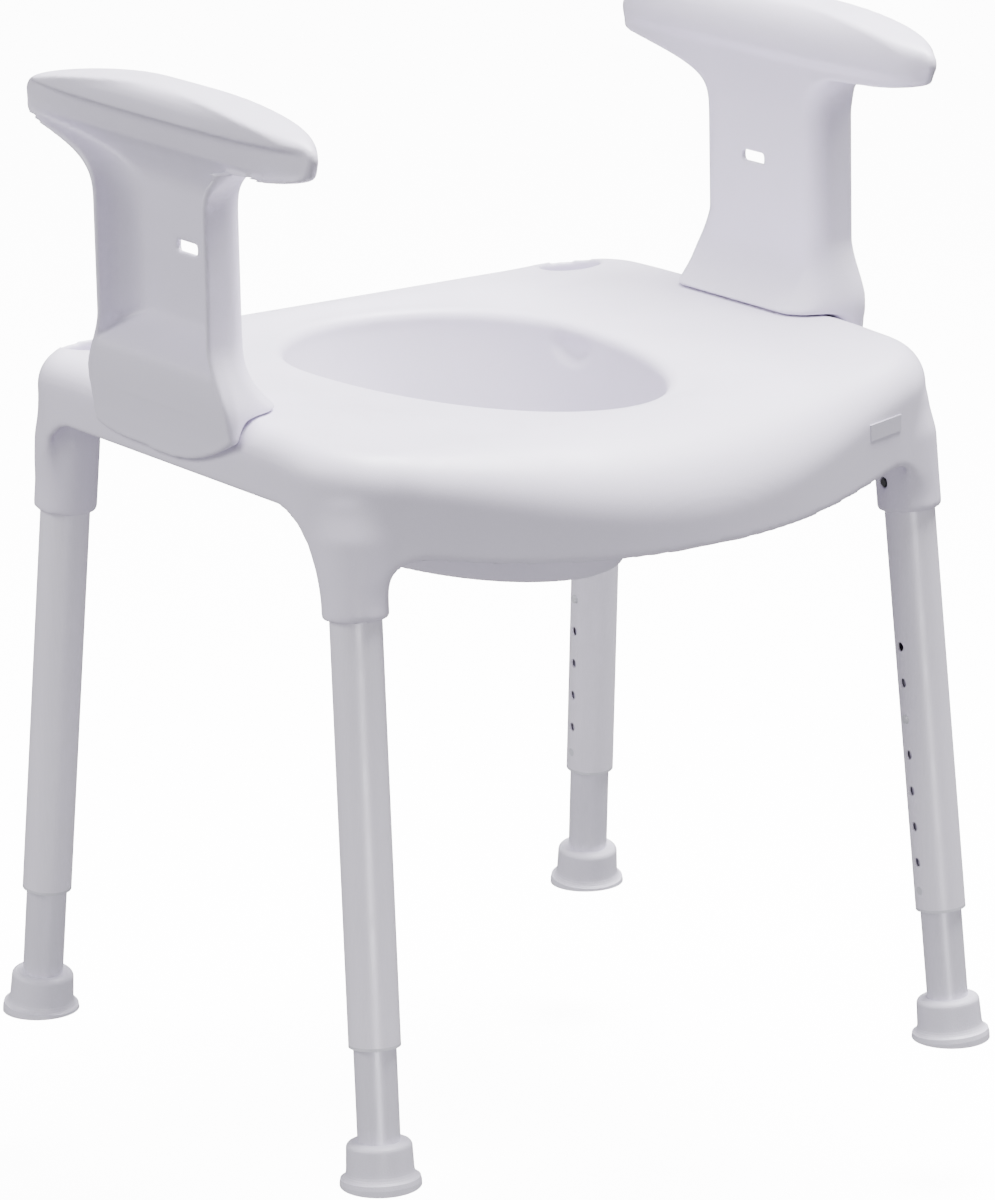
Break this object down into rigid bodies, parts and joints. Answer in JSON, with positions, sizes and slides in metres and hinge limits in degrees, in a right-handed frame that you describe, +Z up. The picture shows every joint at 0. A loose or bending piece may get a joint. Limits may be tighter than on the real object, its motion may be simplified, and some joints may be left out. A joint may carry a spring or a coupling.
{
  "type": "raised toilet seat",
  "caption": "Free-standing bathroom seat with a hygiene opening and splash collar, lift-off arm supports and splayed telescopic legs on rubber feet.",
  "frame": {"origin": "on the floor, under the middle of the part's bounding box", "axes": "+Z up, the front of the seat faces -Y, +X is the side to the right seen from the front"},
  "size_m": [0.53, 0.5054, 0.691],
  "materials": {
    "seat_plastic": "fine satin moulding",
    "arm_plastic": "fine satin moulding",
    "plate": "smooth blank plate",
    "outer_tube": "light satin coat",
    "inner_tube": "satin anodised",
    "guide_bush": "smooth",
    "height_button": "smooth",
    "leg_lock_button": "smooth",
    "spring_steel": "plain",
    "rubber": "semi-matt grey"
  },
  "bodies": {
    "stool": {"seat": "seat_plastic", "maker_plate": "plate", "outer_tube_front_left": "outer_tube", "outer_tube_front_right": "outer_tube", "outer_tube_rear_left": "outer_tube", "outer_tube_rear_right": "outer_tube", "guide_bush_front_left": "guide_bush", "guide_bush_front_right": "guide_bush", "guide_bush_rear_left": "guide_bush", "guide_bush_rear_right": "guide_bush", "leg_lock_spring_front_left": "spring_steel", "leg_lock_spring_front_right": "spring_steel", "leg_lock_spring_rear_left": "spring_steel", "leg_lock_spring_rear_right": "spring_steel"},
    "arm_left": {"arm_support_left": "arm_plastic"},
    "arm_right": {"arm_support_right": "arm_plastic"},
    "lower_leg_front_left": {"inner_tube_front_left": "inner_tube", "height_spring_front_left": "spring_steel", "rubber_foot_front_left": "rubber"},
    "height_button_front_left": {"height_button_front_left": "height_button"},
    "leg_lock_button_front_left": {"leg_lock_button_front_left": "leg_lock_button"},
    "lower_leg_front_right": {"inner_tube_front_right": "inner_tube", "height_spring_front_right": "spring_steel", "rubber_foot_front_right": "rubber"},
    "height_button_front_right": {"height_button_front_right": "height_button"},
    "leg_lock_button_front_right": {"leg_lock_button_front_right": "leg_lock_button"},
    "lower_leg_rear_left": {"inner_tube_rear_left": "inner_tube", "height_spring_rear_left": "spring_steel", "rubber_foot_rear_left": "rubber"},
    "height_button_rear_left": {"height_button_rear_left": "height_button"},
    "leg_lock_button_rear_left": {"leg_lock_button_rear_left": "leg_lock_button"},
    "lower_leg_rear_right": {"inner_tube_rear_right": "inner_tube", "height_spring_rear_right": "spring_steel", "rubber_foot_rear_right": "rubber"},
    "height_button_rear_right": {"height_button_rear_right": "height_button"},
    "leg_lock_button_rear_right": {"leg_lock_button_rear_right": "leg_lock_button"}
  },
  "joints": [
    {"name": "arm_left_lift", "type": "slide", "parent": "stool", "child": "arm_left", "axis": [0, 0, 1], "range_m": [0, 0.06]},
    {"name": "arm_right_lift", "type": "slide", "parent": "stool", "child": "arm_right", "axis": [0, 0, 1], "range_m": [0, 0.06]},
    {"name": "height_front_left", "type": "slide", "parent": "stool", "child": "lower_leg_front_left", "axis": [-0.0304, -0.0802, -0.9963], "range_m": [-0.05, 0.1]},
    {"name": "height_button_front_left_press", "type": "slide", "parent": "lower_leg_front_left", "child": "height_button_front_left", "axis": [-0.9995, 0, 0.0305], "range_m": [0, 0.0045], "stiffness_N_per_m": 1500, "springref_m": -0.003, "deforming": ["height_spring_front_left"]},
    {"name": "leg_lock_front_left_press", "type": "slide", "parent": "stool", "child": "leg_lock_button_front_left", "axis": [-0.9995, 0, 0.0305], "range_m": [0, 0.0036], "stiffness_N_per_m": 1500, "springref_m": -0.003, "deforming": ["leg_lock_spring_front_left"]},
    {"name": "height_front_right", "type": "slide", "parent": "stool", "child": "lower_leg_front_right", "axis": [0.0304, -0.0802, -0.9963], "range_m": [-0.05, 0.1]},
    {"name": "height_button_front_right_press", "type": "slide", "parent": "lower_leg_front_right", "child": "height_button_front_right", "axis": [0.9995, 0, 0.0305], "range_m": [0, 0.0045], "stiffness_N_per_m": 1500, "springref_m": -0.003, "deforming": ["height_spring_front_right"]},
    {"name": "leg_lock_front_right_press", "type": "slide", "parent": "stool", "child": "leg_lock_button_front_right", "axis": [0.9995, 0, 0.0305], "range_m": [0, 0.0036], "stiffness_N_per_m": 1500, "springref_m": -0.003, "deforming": ["leg_lock_spring_front_right"]},
    {"name": "height_rear_left", "type": "slide", "parent": "stool", "child": "lower_leg_rear_left", "axis": [-0.0303, 0.1114, -0.9933], "range_m": [-0.05, 0.1]},
    {"name": "height_button_rear_left_press", "type": "slide", "parent": "lower_leg_rear_left", "child": "height_button_rear_left", "axis": [-0.9995, 0, 0.0305], "range_m": [0, 0.0045], "stiffness_N_per_m": 1500, "springref_m": -0.003, "deforming": ["height_spring_rear_left"]},
    {"name": "leg_lock_rear_left_press", "type": "slide", "parent": "stool", "child": "leg_lock_button_rear_left", "axis": [-0.9995, 0, 0.0305], "range_m": [0, 0.0036], "stiffness_N_per_m": 1500, "springref_m": -0.003, "deforming": ["leg_lock_spring_rear_left"]},
    {"name": "height_rear_right", "type": "slide", "parent": "stool", "child": "lower_leg_rear_right", "axis": [0.0303, 0.1114, -0.9933], "range_m": [-0.05, 0.1]},
    {"name": "height_button_rear_right_press", "type": "slide", "parent": "lower_leg_rear_right", "child": "height_button_rear_right", "axis": [0.9995, 0, 0.0305], "range_m": [0, 0.0045], "stiffness_N_per_m": 1500, "springref_m": -0.003, "deforming": ["height_spring_rear_right"]},
    {"name": "leg_lock_rear_right_press", "type": "slide", "parent": "stool", "child": "leg_lock_button_rear_right", "axis": [0.9995, 0, 0.0305], "range_m": [0, 0.0036], "stiffness_N_per_m": 1500, "springref_m": -0.003, "deforming": ["leg_lock_spring_rear_right"]}
  ]
}
